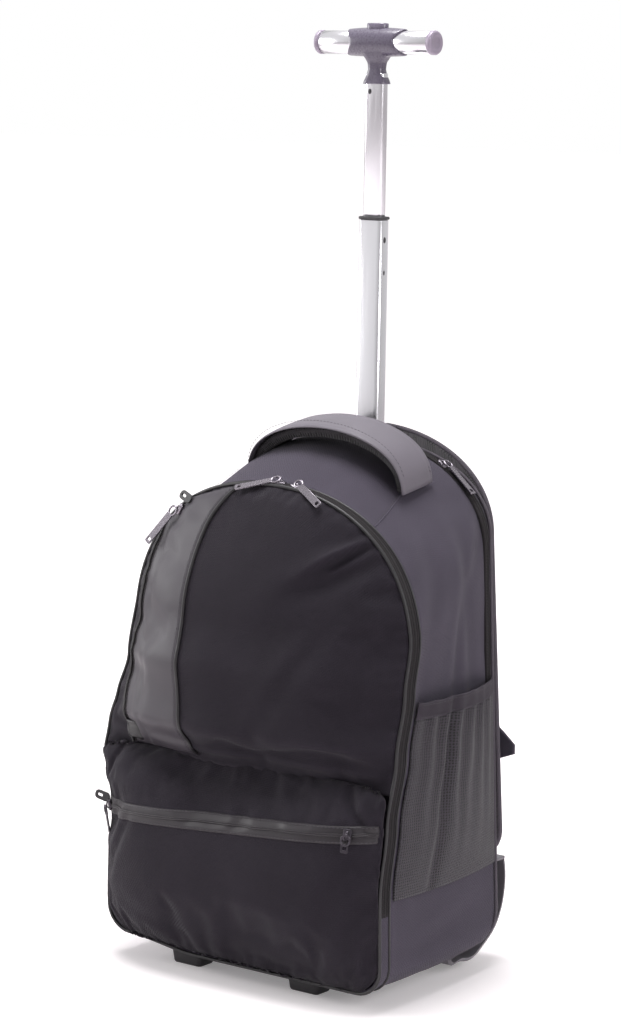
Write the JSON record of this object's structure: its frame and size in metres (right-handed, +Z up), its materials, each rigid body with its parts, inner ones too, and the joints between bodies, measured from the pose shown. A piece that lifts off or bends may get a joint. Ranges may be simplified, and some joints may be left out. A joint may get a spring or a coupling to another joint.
{
  "type": "wheeled backpack",
  "caption": "Wheeled backpack with a telescopic trolley pole, grab handle, domed front compartment, low front pocket, mesh side pockets, shoulder straps and corner wheels.",
  "frame": {"origin": "centre of the bounding box, on the floor under the wheels and feet", "axes": "+Z up along the pole, -Y towards the front pocket, +X to the right seen from the front"},
  "size_m": [0.3562, 0.265, 0.889],
  "materials": {
    "cloth": "matt woven polyester",
    "gusset": "matt woven polyester",
    "leatherette": "smooth, satin",
    "band": "smooth, satin",
    "tape": "woven tape",
    "reflective": "coated tape, satin",
    "mesh": "knitted mesh",
    "aluminium": "satin anodised",
    "hub": "gloss",
    "plastic": "matt",
    "guard": "satin",
    "rubber": "matt",
    "gunmetal": "satin"
  },
  "bodies": {
    "bag": {"main_compartment": "gusset", "main_zip": "tape", "front_compartment": "cloth", "front_zip": "tape", "front_pocket": "cloth", "pocket_zip_tape": "reflective", "front_band": "band", "band_piping": "tape", "band_zip": "tape", "bottle_pocket_right": "mesh", "bottle_pocket_left": "mesh", "bottle_elastic_right": "tape", "bottle_elastic_left": "tape", "handle_strip": "leatherette", "handle_pad": "mesh", "pole_sleeve": "aluminium", "axle_right": "gunmetal", "axle_left": "gunmetal", "corner_guard_right": "guard", "corner_guard_left": "guard", "foot_right": "plastic", "foot_left": "plastic", "back_panel": "mesh", "shoulder_strap_right": "mesh", "shoulder_strap_left": "mesh", "strap_lock_right": "plastic", "strap_lock_left": "plastic", "strap_webbing_right": "tape", "strap_webbing_left": "tape", "strap_anchor_right": "tape", "strap_anchor_left": "tape", "slider_front_zip_left": "gunmetal", "puller_front_zip_left": "gunmetal", "slider_front_zip_right": "gunmetal", "puller_front_zip_right": "gunmetal", "slider_main_zip": "gunmetal", "puller_main_zip": "gunmetal", "slider_band_zip": "gunmetal", "puller_band_zip": "gunmetal", "slider_pocket_zip_right": "gunmetal", "puller_pocket_zip_right": "gunmetal", "slider_pocket_zip_left": "gunmetal", "puller_pocket_zip_left": "gunmetal", "loop_band_zip": "tape", "loop_pocket_zip": "tape"},
    "pole_lower": {"pole_lower": "aluminium", "pole_collar": "plastic"},
    "pole_upper": {"pole_upper": "aluminium", "handle_hub": "hub", "handle_grip_right": "aluminium", "handle_grip_left": "aluminium", "grip_cap_right": "guard", "grip_cap_left": "guard"},
    "button": {"handle_button": "hub"},
    "wheel_right": {"wheel_right": "rubber"},
    "wheel_left": {"wheel_left": "rubber"}
  },
  "joints": [
    {"name": "pole_lower_slide", "type": "slide", "parent": "bag", "child": "pole_lower", "axis": [0, 0, 1], "range_m": [-0.19, 0]},
    {"name": "pole_upper_slide", "type": "slide", "parent": "pole_lower", "child": "pole_upper", "axis": [0, 0, 1], "range_m": [-0.12, 0]},
    {"name": "button_press", "type": "slide", "parent": "pole_upper", "child": "button", "axis": [0, 0, 1], "range_m": [-0.003, 0], "stiffness_N_per_m": 200},
    {"name": "wheel_right_spin", "type": "hinge", "parent": "bag", "child": "wheel_right", "pos_m": [0.11858, 0.07947, 0.03], "axis": [1, 0, 0], "continuous": true},
    {"name": "wheel_left_spin", "type": "hinge", "parent": "bag", "child": "wheel_left", "pos_m": [-0.11742, 0.07947, 0.03], "axis": [1, 0, 0], "continuous": true}
  ]
}
